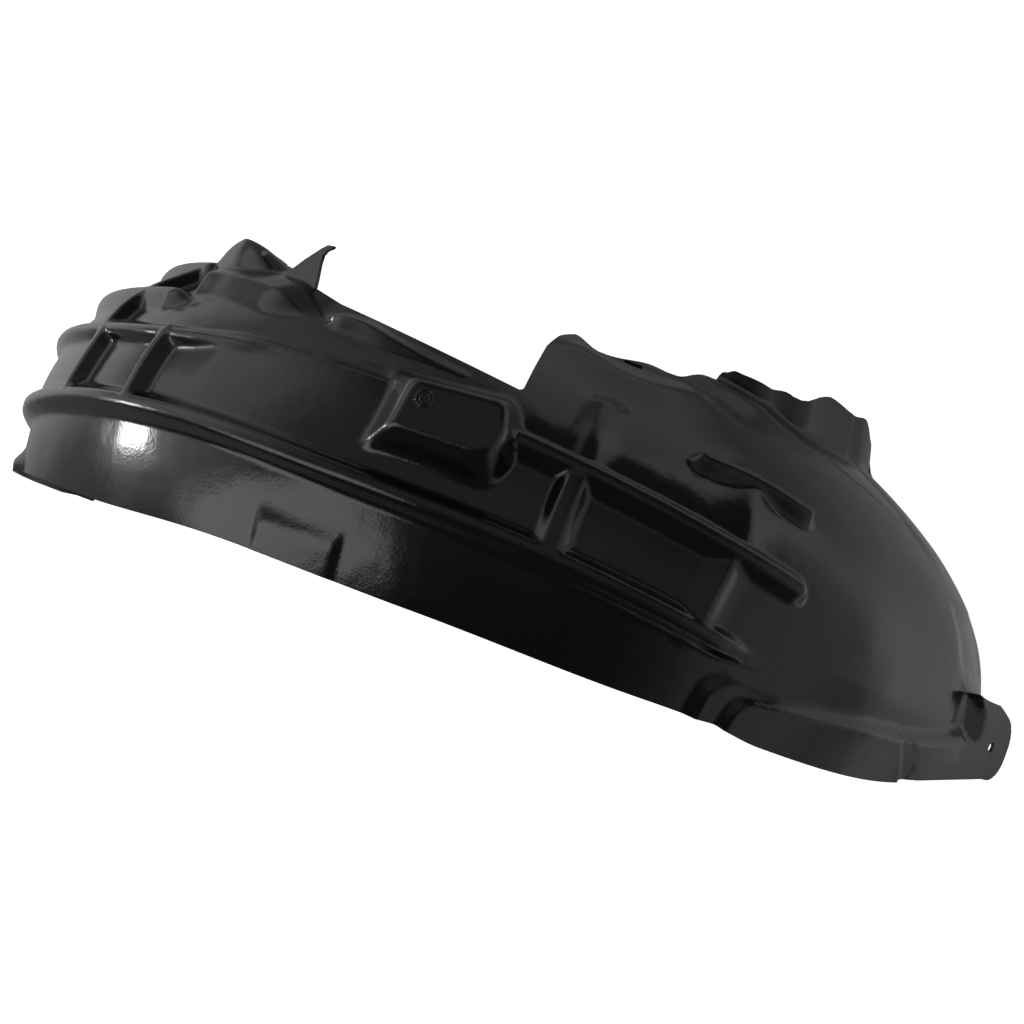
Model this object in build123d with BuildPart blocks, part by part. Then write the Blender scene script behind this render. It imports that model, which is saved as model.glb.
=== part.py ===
# Wheel arch liner: one vacuum-formed sheet, drawn as the outside of its forming tool less the inside of it.
# Built in the wheel's frame (axle along Y, fender edge at y = 0, +Y towards the engine, +Z up), set down at the end.
import os
from math import asin, cos, degrees, radians, sin

from build123d import *

# Driving dimensions, in millimetres and degrees
wall = 2.5
edge_radius = 381
knee_y = 60
knee_radius = 391
shoulder_bend = 135
shoulder_turn = 50
side_bend = 424
side_turn = 29
opening_radius = 236
rear_edge_y = 213
foot_drop = 85

# The beads' section
bead_height = 11
bead_root = 25
bead_crest = 11
bead_round = 4
sink = 12

# The spring box: where its lid's middle is, how far the lid stands over the tread and the foot under it
box_x = 10
box_y = 133
lid_rise = 8
foot_sink = 41
ring_radius = 6.1
ring_bead = 0.7

# The ear's plate stands at a tangent to the tread
ear_angle = 68
ear_reach = knee_radius + 5
ear_hole = 8

# The cone, the fin, the slot and the pad for a clip: angle round the axle, and y
cone_at = (-46, 194)
cone_height = 31.5
cone_hole = 6
fin_angle = -33
fin_y = 204
fin_rise = 16.5
slot_at = (20.3, 222.6)
clip_at = (-10, 11)
clip_height = 3.5


def along(angle):
    return sin(radians(angle)), cos(radians(angle))


# Centres of the profile's two bends, both as (y, radius)
shoulder_centre = (knee_y, knee_radius - shoulder_bend)
side_centre = (
    shoulder_centre[0] + (shoulder_bend - side_bend) * along(shoulder_turn)[0],
    shoulder_centre[1] + (shoulder_bend - side_bend) * along(shoulder_turn)[1],
)
shoulder_end_y = shoulder_centre[0] + shoulder_bend * along(shoulder_turn)[0]


def lean_at(y):
    """How far the tool's surface leans from the wheel's radius at this y."""
    if y <= knee_y:
        return 0
    if y <= shoulder_end_y:
        return degrees(asin((y - shoulder_centre[0]) / shoulder_bend))
    return degrees(asin((y - side_centre[0]) / side_bend))


def radius_at(y):
    if y <= knee_y:
        return knee_radius + (y - knee_y) * (knee_radius - edge_radius) / knee_y
    if y <= shoulder_end_y:
        return shoulder_centre[1] + shoulder_bend * along(lean_at(y))[1]
    return side_centre[1] + side_bend * along(lean_at(y))[1]


def place(angle, y, lift=0):
    """The point on the tool at this angle round the axle and this y."""
    sideways, up = along(lean_at(y))
    radius = radius_at(y) + lift * up
    return Vector(radius * along(angle)[0], y + lift * sideways, radius * along(angle)[1])


def facing(angle, y):
    """The way the tool's surface faces there."""
    sideways, up = along(lean_at(y))
    return Vector(up * along(angle)[0], sideways, up * along(angle)[1])


def bead_section(root, crest, height, shrink):
    """A drafted bead with rounded crest, its root sunk into the tool."""
    slope = (root - crest) / 2 / height
    Polygon(
        (-root / 2 - sink * slope, -sink),
        (-crest / 2, height),
        (crest / 2, height),
        (root / 2 + sink * slope, -sink),
        align=None,
    )
    fillet(vertices().group_by(Axis.Y)[-1], min(bead_round, 0.35 * crest))
    if shrink:
        offset(amount=-shrink)


def bead(start, middle, end, shrink, root=bead_root, crest=bead_crest, height=bead_height, caps=(1, 1)):
    """A bead swept along the arc through three places on the tool, with spun ends."""
    with BuildLine() as route:
        ThreePointArc(place(*start), place(*middle), place(*end))
    arc = route.edges()[0]
    back_off = shrink / arc.length
    arc = arc.trim(0 if caps[0] else back_off, 1 if caps[1] else 1 - back_off)
    first, last = arc % 0, arc % 1
    half_turn = first.get_angle(last) / 2
    spin = Axis((0, 0, 0), first.cross(last))
    outward = facing(*middle)
    outward = (outward - (arc % 0.5) * outward.dot(arc % 0.5)).normalized()
    out_first = outward.rotate(spin, -half_turn)
    out_last = outward.rotate(spin, half_turn)
    front = Plane(arc @ 0, x_dir=out_first.cross(first), z_dir=first)
    back = Plane(arc @ 1, x_dir=out_last.cross(last), z_dir=last)
    with BuildSketch(front) as section:
        bead_section(root, crest, height, shrink)
    sweep(section.sketch, path=arc)
    for plane, axis, wanted in (
        (front, Axis(arc @ 0, out_first), caps[0]),
        (back, Axis(arc @ 1, out_last * -1), caps[1]),
    ):
        if wanted:
            with BuildSketch(plane) as half:
                bead_section(root, crest, height, shrink)
                with Locations((root, 0)):
                    Rectangle(2 * root, 8 * height, mode=Mode.INTERSECT)
            revolve(half.sketch, axis=axis, revolution_arc=180)


def tread_and_side(shrink):
    """The plain body of the tool, turned about the axle."""
    overlap = 30 if shrink else 0
    with BuildSketch(Plane.YZ) as half_section:
        with BuildLine():
            top = (knee_y, knee_radius - shrink)
            low = (-overlap, radius_at(-overlap) - shrink)
            Line(low, top)
            bend = JernArc(top, (1, 0), shoulder_bend - shrink, -shoulder_turn)
            side = JernArc(bend @ 1, bend % 1, side_bend - shrink, -side_turn)
            Polyline(side @ 1, ((side @ 1).X, 0), (low[0], 0), low)
        make_face()
    revolve(half_section.sketch, axis=Axis.Y)


def leaning(origin, lean):
    """A plane with its X along the car and its face leaning inwards."""
    sideways, up = along(lean)
    return Plane(origin, x_dir=(1, 0, 0), z_dir=(0, sideways, up))


lid_plane = leaning((box_x, box_y, knee_radius + lid_rise), 16)
foot_plane = leaning((box_x, box_y - 3, knee_radius - foot_sink), 35)


def spring_box(shrink):
    """The raised box over the strut, a drafted pad with a leaning flat top."""
    with BuildPart() as pad:
        with BuildSketch(lid_plane.offset(-shrink)) as lid:
            Polygon((-32, 17), (-35, -20), (37, -19), (46, 23), align=None)
            fillet(lid.vertices().sort_by(Axis.X)[-2], 6)
            fillet(lid.vertices().sort_by(Axis.X)[-1], 18)
            offset(amount=-0.6 * shrink)
        with BuildSketch(foot_plane) as foot:
            Polygon((-56, 36), (-76, -42), (52, -51), (62, 38), align=None)
            fillet(foot.vertices().sort_by(Axis.X)[-2], 14)
            fillet(foot.vertices().sort_by(Axis.X)[-1], 26)
            offset(amount=-shrink)
        loft(ruled=True)
    return pad.part


def cone_boss(shrink):
    """The rounded cone at the rear of the inner edge, turned about the way the tool faces there."""
    seat = Plane(place(*cone_at), z_dir=facing(*cone_at))
    with BuildPart() as boss:
        with BuildSketch(Plane.XZ) as half:
            with BuildLine():
                FilletPolyline((0, cone_height), (5, cone_height), (44, -14), radius=9)
                Polyline((44, -14), (0, -14), (0, cone_height))
            make_face()
            if shrink:
                offset(amount=-shrink)
                with Locations((30, 0)):
                    Rectangle(60, 120, mode=Mode.INTERSECT)
        revolve(half.sketch, axis=Axis.Z)
    return seat * boss.part


def clip_pad(shrink):
    """The low drafted pad by the fender edge where a clip sits."""
    seat = Plane(place(*clip_at), x_dir=(along(clip_at[0])[1], 0, -along(clip_at[0])[0]), z_dir=facing(*clip_at))
    with BuildPart() as pad:
        with BuildSketch(Plane.XY.offset(clip_height - shrink)):
            Rectangle(60 - 2 * shrink, 26 - 2 * shrink)
        with BuildSketch(Plane.XY.offset(-sink)):
            Rectangle(76 - 2 * shrink, 42 - 2 * shrink)
        loft(ruled=True)
    return seat * pad.part


def form(shrink):
    """The tool with all its beads and pads."""
    pads = [spring_box(shrink), cone_boss(shrink), clip_pad(shrink)]
    low = bead_height - 2
    with BuildPart() as tool:
        tread_and_side(shrink)
        # Long bead along the tread, and the three shorter rows behind it
        bead((-97, 40), (-20, 73.5), (40, 48), shrink)
        bead((-97, 90), (-40, 127), (-12, 137), shrink, height=bead_height + 1)
        bead((-97, 133), (-65, 153), (-47, 166), shrink, height=bead_height + 1)
        bead((-97, 165), (-75, 179), (-56, 188), shrink, height=bead_height + 4)
        # Cross beads of the rear waffle, a little lower than the rows they join
        bead((-47.5, 72), (-49.5, 120), (-57, 185), shrink, root=20, crest=8, height=low)
        bead((-35, 74), (-38, 130), (-49.5, 190), shrink, root=20, crest=8, height=low)
        # Ridges along the inner shoulder
        bead((-47, 192), (-35, 193), (-23, 195), shrink, root=76, crest=42, height=bead_height + 1, caps=(0, 0))
        bead((-18, 179), (-11, 174), (-4, 168), shrink, root=17, crest=7, height=low)
        # Front rows and the cross beads between them
        bead((7, 134), (27, 123), (43, 101), shrink, root=30, crest=12, height=bead_height + 2)
        bead((30, 168), (37, 166), (45, 158), shrink, root=23, crest=9, height=bead_height + 1)
        bead((15.5, 70), (15.5, 122), (17, 178), shrink, root=26, crest=10, height=bead_height - 1)
        bead((36.5, 165), (35.4, 145), (34.2, 118), shrink, root=27, crest=9, height=low)
        bead((35, 112), (34, 82), (32.2, 55), shrink, root=27, crest=9, height=low)
        # Widened flange along the front edge, and the rim rolled outwards along the rear leg
        bead((40, -10), (54, 1), (66, 8), shrink, root=60, crest=44, caps=(0, 0))
        bead((-97, 3), (-85, 3), (-72, 2), shrink, root=20, crest=8, height=low - 1)
        for pad in pads:
            add(pad)
    return tool.part


# The ear's plate, its ledge down to the tread, and the fin beside the strut notch
ear_out = Vector(along(ear_angle)[0], 0, along(ear_angle)[1])
ear_plane = Plane(ear_out * ear_reach, x_dir=(ear_out.Z, 0, -ear_out.X), z_dir=ear_out)
ear_ledge = ((-10, 4), (-10, 36), (29, 43), (63, 51), (76, 62), (66, 93))
fin_out = Vector(along(fin_angle)[0], 0, along(fin_angle)[1])
fin_plane = Plane(
    fin_out * (radius_at(fin_y) + fin_rise), x_dir=(fin_out.Z, 0, -fin_out.X), z_dir=fin_out
)
slot_along = (along(slot_at[0])[1], 0, -along(slot_at[0])[0])
slot_plane = Plane(place(*slot_at, 10), x_dir=slot_along, z_dir=facing(*slot_at))

# Lip turned inwards along the front leg, a turned strip cut to a rounded outline
lip_start = 35.5
lip_sweep = 57
lip_middle = 66
lip_edge = 262
lip_root = lip_edge - 47
lip_along = Vector(along(lip_start)[1], 0, -along(lip_start)[0])
lip_out = Vector(along(lip_middle)[0], 0, along(lip_middle)[1])
with BuildPart() as lip:
    with BuildSketch(Plane((0, 0, 0), x_dir=(0, 1, 0), z_dir=lip_along)):
        Polygon(
            (lip_root, opening_radius + 16),
            (lip_root, opening_radius + 4),
            (lip_edge, opening_radius - 4),
            (lip_edge, opening_radius - 4 + wall),
            (lip_edge - 30, opening_radius + 4),
            align=None,
        )
    revolve(axis=Axis.Y, revolution_arc=lip_sweep)
    with BuildSketch(Plane(lip_out * 100, x_dir=(lip_out.Z, 0, -lip_out.X), z_dir=lip_out)) as lip_outline:
        Polygon(
            (-120, 190), (-118, 249), (-40, 248), (0, lip_edge), (70, lip_edge), (150, 238), (150, 190),
            align=None,
        )
        fillet(lip_outline.vertices().sort_by(Axis.Y)[2:], 9)
    extrude(amount=300, mode=Mode.INTERSECT)

outer = form(0)
inner = form(wall)
with BuildPart() as liner:
    add(outer)
    # Fender edge, strut notch, and the place where the tread gives way to the ear
    with BuildSketch(Plane.XZ):
        with Locations((-200, 0)):
            Rectangle(900, 1200)
    extrude(amount=60, mode=Mode.SUBTRACT)
    with BuildSketch(Plane.XY.offset(100)) as notch:
        Polygon(
            (-120, 191), (37, 170), (30, 212), (36, 300), (-194, 300), (-188, 209), (-152, 207), (-137, 196),
            align=None,
        )
        fillet(notch.vertices().sort_by(Axis.Y)[:1], 3)
    extrude(amount=380, mode=Mode.SUBTRACT)
    with BuildSketch(ear_plane):
        Polygon(*ear_ledge, (300, 93), (300, -60), (-10, -60), align=None)
    extrude(amount=-90, mode=Mode.SUBTRACT)
    # Ear and its ledge, fin, and the lip turned inwards along the front leg
    with BuildSketch(ear_plane) as ear:
        Polygon((-10, 8), (120, 31.5), (146, 36), (142, 82), *reversed(ear_ledge[1:]), align=None)
        fillet(ear.vertices().sort_by(Axis.X)[-2:], 21)
    extrude(amount=-wall)
    with BuildSketch(ear_plane):
        with BuildLine():
            Polyline(*ear_ledge)
        trace(line_width=2 * wall)
    extrude(amount=-45)
    with BuildSketch(fin_plane):
        Polygon((-34, 198), (-24, 205), (8, 231), (13, 236), (19, 236), (11, 219), (11, 198), align=None)
    extrude(amount=-wall)
    add(lip.part)
    add(inner, mode=Mode.SUBTRACT)
    # Front flange trimmed to its edge
    with BuildLine() as edge_line:
        ThreePointArc(place(39, -7), place(53, -6), place(68.5, 10))
    edge = edge_line.edges()[0]
    with BuildSketch(Plane(edge @ 0, x_dir=facing(39, 0).cross(edge % 0), z_dir=edge % 0)) as beyond:
        Rectangle(80, 70, align=(Align.MAX, Align.CENTER))
    sweep(beyond.sketch, path=edge, mode=Mode.SUBTRACT)
    # Opening for the axle, wider at the rear, and the feet
    with BuildSketch(Plane.XZ.offset(-150)):
        Circle(opening_radius - wall)
    extrude(amount=-200, mode=Mode.SUBTRACT)
    with BuildSketch(Plane.XZ.offset(-150)):
        Circle(radius_at(rear_edge_y))
        with Locations((opening_radius, 0)):
            Rectangle(2 * opening_radius, 1200, mode=Mode.SUBTRACT)
    extrude(amount=-200, mode=Mode.SUBTRACT)
    with BuildSketch(Plane.XY.offset(-foot_drop)):
        Rectangle(1200, 1200)
    extrude(amount=-500, mode=Mode.SUBTRACT)
    # Ear hole, slot in the inner edge, and the hole in the cone's flank
    with BuildSketch(ear_plane.offset(5)):
        with Locations((114, 56)):
            Circle(ear_hole / 2)
    extrude(amount=-5 - 2 * wall, mode=Mode.SUBTRACT)
    with BuildSketch(slot_plane):
        Rectangle(13, 5)
    extrude(amount=-25, mode=Mode.SUBTRACT)
    with BuildSketch(Plane.XY.offset(270)):
        with Locations((-205, 213)):
            Circle(cone_hole / 2)
    extrude(amount=-70, mode=Mode.SUBTRACT)
    # Plain raised ring on the lid
    with Locations(lid_plane * Pos(-18.8, 5.7, 0)):
        Torus(ring_radius, ring_bead)

# Set down on its feet, over the middle of its own box
box = liner.part.bounding_box()
with BuildPart() as wheel_arch_liner:
    with Locations((-box.center().X, -box.center().Y, -box.min.Z)):
        add(liner.part)
wheel_arch_liner.part.label = "wheel_arch_liner"

os.makedirs("parts", exist_ok=True)
export_step(wheel_arch_liner.part, "parts/wheel_arch_liner.step")
print("volume", round(wheel_arch_liner.part.volume), "solids", len(wheel_arch_liner.part.solids()))
print("valid", wheel_arch_liner.part.is_valid, "faces", len(wheel_arch_liner.part.faces()))
print("set down by", -box.center().X, -box.center().Y, -box.min.Z)
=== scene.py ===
# %% [markdown]
# # A wheel arch liner in black polyethylene
# A wheel arch liner is the plastic shell that keeps the road's water and stones off the inside of a car's
# wing. It is one sheet, drawn by vacuum over a ribbed tool, so this scene has one piece, one material and
# a studio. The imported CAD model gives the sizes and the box. A finer mesh of the same shape takes its
# place here, with the soft folds of a formed sheet, and Blender gives it the finish, the light and the
# camera.

# %% Load the frame
from math import cos, radians, sin

import bmesh
import bpy
import numpy as np
from mathutils import Matrix, Vector


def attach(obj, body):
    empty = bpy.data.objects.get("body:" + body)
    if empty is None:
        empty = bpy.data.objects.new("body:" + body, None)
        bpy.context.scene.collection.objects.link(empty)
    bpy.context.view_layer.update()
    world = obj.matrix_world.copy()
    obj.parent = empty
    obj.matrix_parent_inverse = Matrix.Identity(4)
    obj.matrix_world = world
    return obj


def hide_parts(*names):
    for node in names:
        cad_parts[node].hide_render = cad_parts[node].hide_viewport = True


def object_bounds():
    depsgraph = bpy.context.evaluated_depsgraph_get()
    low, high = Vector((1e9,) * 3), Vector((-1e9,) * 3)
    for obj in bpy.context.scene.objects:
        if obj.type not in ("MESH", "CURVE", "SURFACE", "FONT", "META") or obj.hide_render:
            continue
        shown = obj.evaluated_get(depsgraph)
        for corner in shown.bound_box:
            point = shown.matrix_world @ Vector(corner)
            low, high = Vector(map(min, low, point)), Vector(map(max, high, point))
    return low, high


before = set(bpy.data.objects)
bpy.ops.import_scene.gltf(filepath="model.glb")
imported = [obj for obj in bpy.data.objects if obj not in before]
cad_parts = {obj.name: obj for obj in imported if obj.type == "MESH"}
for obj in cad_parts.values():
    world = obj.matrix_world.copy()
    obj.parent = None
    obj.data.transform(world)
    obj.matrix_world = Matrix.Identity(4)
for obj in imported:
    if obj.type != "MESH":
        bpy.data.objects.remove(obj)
cad_low, cad_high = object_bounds()
print("nodes:", list(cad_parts))
print("liner size in mm:", [round(1000 * side, 1) for side in cad_high - cad_low])

# %% [markdown]
# ## Colours and nodes
# Colours are written as sRGB hex values, as a paint chart gives them, and the shader wants them linear.
# One function turns one into the other. A second one adds a node, sets it and links it, so that each
# material below reads as a list of what it is made of. The others add the nodes that come up most: a
# ramp, a step of arithmetic, a noise of a given grain and a bump of a given depth. The last one turns two
# angles into a direction, for the lamps and the camera.

# %% Helpers for colours and nodes
MM = 0.001


def linear(hex_colour):
    channels = [int(hex_colour[i : i + 2], 16) / 255 for i in (1, 3, 5)]
    return [c / 12.92 if c <= 0.04045 else ((c + 0.055) / 1.055) ** 2.4 for c in channels] + [1]


def add_node(tree, kind, links=None, **settings):
    """A new node, its settings by name, and its inputs by socket: a value, or an output to link from."""
    node = tree.nodes.new(kind)
    for name, value in settings.items():
        setattr(node, name, value)
    for socket, value in (links or {}).items():
        if isinstance(value, bpy.types.NodeSocket):
            tree.links.new(value, node.inputs[socket])
        else:
            node.inputs[socket].default_value = value
    return node


def ramp(tree, value, low, high, start, end, shape="SMOOTHSTEP"):
    """A change from start to end while the value goes from low to high, smooth unless the shape says else."""
    ends = {"Value": value, "From Min": low, "From Max": high, "To Min": start, "To Max": end}
    return add_node(tree, "ShaderNodeMapRange", ends, interpolation_type=shape).outputs["Result"]


def maths(tree, operation, *values):
    return add_node(tree, "ShaderNodeMath", dict(enumerate(values)), operation=operation).outputs["Value"]


def noise(tree, place, grain, detail):
    settings = {"Vector": place, "Scale": 1 / grain, "Detail": detail}
    return add_node(tree, "ShaderNodeTexNoise", settings).outputs["Fac"]


def bump(tree, height, normal, depth, strength=1.0):
    settings = {"Height": height, "Normal": normal, "Distance": depth, "Strength": strength}
    return add_node(tree, "ShaderNodeBump", settings).outputs["Normal"]


def direction(azimuth, elevation):
    """A unit vector. Azimuth 0 points to -Y and 90 to +X, and elevation is above the floor."""
    a, e = radians(azimuth), radians(elevation)
    return Vector((sin(a) * cos(e), -cos(a) * cos(e), sin(e)))


BLACK, DUST, PAPER, WHITE = linear("#0b0b0c"), linear("#3a3a3a"), linear("#f2f2f2"), linear("#ffffff")
print("the sheet's black in linear light:", [round(c, 4) for c in BLACK[:3]])

# %% [markdown]
# ## The tool that the sheet was drawn over
# The liner takes its shape from one tool, and the tool is mostly a turned body: a tread band over the
# tyre, a shoulder, and a slack side wall towards the engine. Sizes are millimetres from the axle, as on a
# drawing. A place on the tool is an angle round the axle and a distance from the fender's edge.

# %% Profile of the tool
EDGE_RADIUS, KNEE_Y, KNEE_RADIUS = 381, 60, 391
SHOULDER_BEND, SHOULDER_TURN, SIDE_BEND, SIDE_TURN = 135, 50, 424, 22
BARREL = 5
WALL = 2.5
AXLE = np.array([-10.946, -126.92, 85.0])


def tool_profile(step=0.5, soften=4):
    """Distance along the profile, y, radius and lean, with the knee softened as a sheet softens it."""
    cone = np.hypot(KNEE_Y, KNEE_RADIUS - EDGE_RADIUS)
    bend = SHOULDER_BEND * radians(SHOULDER_TURN)
    run = np.arange(-40, cone + bend + SIDE_BEND * radians(SIDE_TURN), step)
    turn = np.clip((run - cone) / SHOULDER_BEND, 0, radians(SHOULDER_TURN))
    turn += np.clip((run - cone - bend) / SIDE_BEND, 0, None)
    barrel = radians(BARREL) * (1 - 2 * np.clip(run / cone, 0, 1))
    turn[run < cone] = -(np.arctan2(KNEE_RADIUS - EDGE_RADIUS, KNEE_Y) + barrel)[run < cone]
    kernel = np.exp(-0.5 * (np.arange(-4 * soften, 4 * soften + step, step) / soften) ** 2)
    padded = np.pad(turn, len(kernel) // 2, mode="edge")
    lean = np.convolve(padded, kernel / kernel.sum(), mode="valid")
    y, radius = np.cumsum(np.cos(lean)) * step, -np.cumsum(np.sin(lean)) * step
    knee = np.searchsorted(run, cone)
    return run, y - y[knee] + KNEE_Y, radius - radius[knee] + KNEE_RADIUS, lean


RUN, PROFILE_Y, PROFILE_RADIUS, PROFILE_LEAN = tool_profile()


def on_tool(angle, run):
    """Points on the tool and the way it faces there."""
    around = np.radians(angle)
    radius, lean = np.interp(run, RUN, PROFILE_RADIUS), np.interp(run, RUN, PROFILE_LEAN)
    points = np.stack([radius * np.sin(around), np.interp(run, RUN, PROFILE_Y), radius * np.cos(around)], -1)
    up, sideways = np.cos(lean), np.sin(lean)
    return points, np.stack([up * np.sin(around), sideways, up * np.cos(around)], -1)


def place(angle, y):
    return on_tool(angle, np.interp(y, PROFILE_Y, RUN))


print("profile runs from y", PROFILE_Y[0].round(1), "to", PROFILE_Y[-1].round(1), "mm")

# %% [markdown]
# ## A net over the tool
# A vacuum-formed sheet has no sharp inner corners: each rib flows into the next. Solids joined edge to
# edge can't show that, but a height on a fine net can. So the sheet is a net of rows along the arch and
# columns across it, and every rib, box and cone lifts the net by a height in millimetres. Rows and
# columns are bent to run along the ribs, so that a rib's edge doesn't cut across the net in steps, and
# the columns stand closer at the cross ribs and the ear.

# %% Rows and columns of the net
ROWS, LIP_ROWS, COLUMNS = 161, 8, 441
FOOT_DROP, FOOT_SPARE = 85, 3
LEG_ANGLE, NET_END = 90, 103
ROW_BOW, COLUMN_SHEAR = 36, 10


def smooth_step(low, high, x):
    t = np.clip((x - low) / (high - low), 0, 1)
    return t * t * (3 - 2 * t)


def smooth_through(spots, x):
    """A curve through the spots that is level at each of them."""
    rises = [(b - a) * smooth_step(x0, x1, x) for (x0, a), (x1, b) in zip(spots, spots[1:])]
    return spots[0][1] + sum(rises)


def column_angles():
    """Angles of the columns, close together from the rear cross ribs to the front ones, and at the ear."""
    angle = np.linspace(-NET_END, NET_END, 2001)
    ribbed = smooth_step(-66, -58, angle) * (1 - smooth_step(44, 50, angle))
    crowd = 1 + 1.3 * ribbed + 1.5 * smooth_step(60, 63, angle) * (1 - smooth_step(84, 87, angle))
    return np.interp(np.linspace(0, 1, COLUMNS), np.cumsum(crowd) / crowd.sum(), angle)


def fender_edge(angle):
    """Where the sheet was trimmed along the fender: a waver on a level line, and the flange at the front."""
    spots = [(-90, -1.5), (-70, 0), (-40, -2.2), (-18, 2.2), (4, 0), (26, -2.3), (35, -1.6), (39, 0)]
    along_flange = np.clip((angle - 39) / 29.5, 0, 0.93)
    return smooth_through(spots, angle) + smooth_step(37.5, 44, angle) * (14 * along_flange**3.2 - 3.4)


def opening_edge(angle):
    """Where the sheet ends above the axle: lower at the rear, wavy over the front, level at the front leg."""
    rear = [(-60, 213), (-52, 204), (-20, 204), (4, 213)]
    front = [(9.5, 230), (14.2, 220.5), (24, 228), (28.5, 226), (34, 230), (39, 230), (49, 226), (58, 221)]
    leg = [(91, 221), (95, 229)]
    return smooth_through(rear + front + leg, angle)


across, angle = np.meshgrid(np.linspace(0, 1, ROWS), column_angles(), indexing="ij")
first = np.interp(fender_edge(angle), PROFILE_Y, RUN)
last = np.interp(opening_edge(angle), PROFILE_Y, RUN)
bow = 1 - 1.5 * np.tanh(((angle + 20) / np.where(angle < -20, 77, 62)) ** 2 / 1.5)
run = first + across * (last - first) + ROW_BOW * bow * np.sin(np.pi * across)
rear = smooth_step(-97, -62, angle) * (1 - smooth_step(-32, -2, angle))
angle = angle - COLUMN_SHEAR * rear * smooth_step(0.18, 0.7, across)
end_angle = np.degrees(np.arccos(-(FOOT_DROP + FOOT_SPARE) / np.interp(run, RUN, PROFILE_RADIUS)))
past = np.clip(np.abs(angle) - LEG_ANGLE, 0, None) / (NET_END - LEG_ANGLE)
angle = np.where(past > 0, np.sign(angle) * (LEG_ANGLE + past * (end_angle - LEG_ANGLE)), angle)
net, facing = on_tool(angle, run)
print("net of", net.shape[0], "rows and", net.shape[1], "columns")

# %% [markdown]
# ## Ribs
# Each rib is a drafted ridge along a curve drawn over the tool through a few places. Its height at a
# point of the net depends on how far the point is from that curve and from its ends, and the two flanks
# may differ. A soft maximum joins it to what is there already, and that is what makes the fillets: it
# rounds the corner where two heights are nearly equal.

# %% Soft joins
def soft_max(a, b, blend):
    near = np.maximum(blend - np.abs(a - b), 0)
    return np.maximum(a, b) + near * near / (4 * blend)


def soft_min(a, b, blend):
    return -soft_max(-a, -b, blend)


def merge(height, feature, blend):
    """Joins a feature to the sheet: a wide fillet at its root, a narrow one where two crests cross."""
    tall = np.clip(np.minimum(height, feature) / 8, 0, 1)
    return soft_max(height, feature, blend * (1 - 0.75 * tall))


print("where two heights of 5 mm meet, a blend of 4 mm gives", soft_max(5, 5, 4), "mm")

# %% A rib along a curve
DEGREE = radians(1) * KNEE_RADIUS
NOWHERE = -99.0
RIB_REACH = 70
SQUARE_RUN_ON = 9
CREST_ROUND = 0.28
END_SLOPE, END_ROUND = 2.2, 4


def curve_over_tool(places, count=48):
    """Points on the tool along a smooth curve through the places."""
    spots = np.array(places, float)
    walked = np.concatenate([[0], np.cumsum(np.hypot(*(np.diff(spots, axis=0) * (DEGREE, 1)).T))])
    slope = np.gradient(spots, walked, axis=0)
    at = np.linspace(0, walked[-1], count)
    k = np.clip(np.searchsorted(walked, at, side="right") - 1, 0, len(spots) - 2)
    gap = (walked[k + 1] - walked[k])[:, None]
    t = (at - walked[k])[:, None] / gap
    from_here = (1 + 2 * t) * (1 - t) ** 2 * spots[k] + t * (1 - t) ** 2 * gap * slope[k]
    from_next = t * t * (3 - 2 * t) * spots[k + 1] + t * t * (t - 1) * gap * slope[k + 1]
    return place(*(from_here + from_next).T)[0]


def rib(places, height=11, crest=8, flanks=(6, 6), fades=(0, 0), square=(False, False)):
    """Height of a rib. Flanks are left and right of the way it runs. Ends are round or square, or fade."""
    curve = curve_over_tool(places)
    near = np.all((net > curve.min(0) - RIB_REACH) & (net < curve.max(0) + RIB_REACH), -1)
    spots, out = net[near], facing[near]
    nearest = np.full(len(spots), 1e9)
    along, side = np.zeros(len(spots)), np.zeros(len(spots))
    walked = 0
    for k, (here, ahead) in enumerate(zip(curve, curve[1:])):
        step = ahead - here
        length = np.linalg.norm(step)
        low = -SQUARE_RUN_ON if k == 0 and square[0] else 0
        high = SQUARE_RUN_ON if k == len(curve) - 2 and square[1] else 1
        t = np.clip((spots - here) @ step / length**2, low, high)
        gap = spots - here - t[:, None] * step
        distance = np.linalg.norm(gap, axis=-1)
        closer = distance < nearest
        nearest[closer] = distance[closer]
        along[closer] = walked + length * t[closer]
        side[closer] = (np.cross(out[closer], step) * gap[closer]).sum(-1)
        walked += length
    flank = height * (1 - (nearest - crest / 2) / np.where(side > 0, *flanks))
    rise = soft_min(flank, np.full_like(flank, height), CREST_ROUND * height)
    for to_end, fade, cut in ((along, fades[0], square[0]), (walked - along, fades[1], square[1])):
        if fade:
            rise = rise - height * smooth_step(0, 1, 1 - to_end / fade)
        if cut:
            rise = soft_min(rise, END_SLOPE * to_end, END_ROUND)
    whole = np.full(net.shape[:2], NOWHERE)
    whole[near] = rise
    return whole


print("one degree of the arch is", round(DEGREE, 2), "mm on the tread")

# %% [markdown]
# The rear of the liner has rows of ribs that run down its leg, cross ribs between them, and a broad ridge
# by the opening. In front the rows are shorter and end on the open dome, over a stepped flange. A flank
# as long as LEVEL never comes down, so that side of the rib is a plateau: the flange is made that way.

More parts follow.
